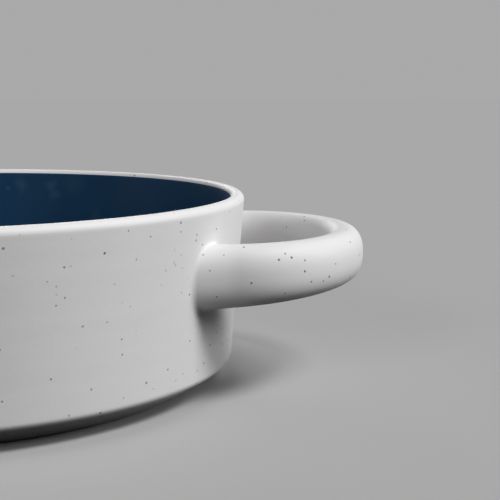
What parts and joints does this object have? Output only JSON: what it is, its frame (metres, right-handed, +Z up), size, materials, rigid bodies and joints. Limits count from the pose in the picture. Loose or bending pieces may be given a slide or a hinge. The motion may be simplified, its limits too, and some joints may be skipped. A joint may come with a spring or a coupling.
{
  "type": "lug soup bowl",
  "caption": "Low round stoneware soup bowl with a level loop lug on each side of its wall, speckled white glaze outside, navy glaze inside and a bare turned foot ring.",
  "frame": {"origin": "centre of the circle on which the foot ring stands, on the table", "axes": "+Z up, +X out through the middle of the right-hand lug, +Y away from the side that faces the viewer in the picture"},
  "size_m": [0.2254, 0.163, 0.0485],
  "materials": {
    "stoneware": "bare fired stoneware, sanded",
    "white_glaze": "satin white glaze with dark slate-blue specks",
    "navy_glaze": "satin navy glaze, faintly clouded",
    "slip": "fired luting slip"
  },
  "bodies": {
    "root": {"bowl_body": "stoneware", "outer_glaze": "white_glaze", "liner_glaze": "navy_glaze", "base_glaze": "white_glaze", "right_lug": "stoneware", "left_lug": "stoneware", "right_lug_glaze": "white_glaze", "left_lug_glaze": "white_glaze", "right_front_slip": "slip", "right_back_slip": "slip", "left_front_slip": "slip", "left_back_slip": "slip"}
  },
  "joints": []
}
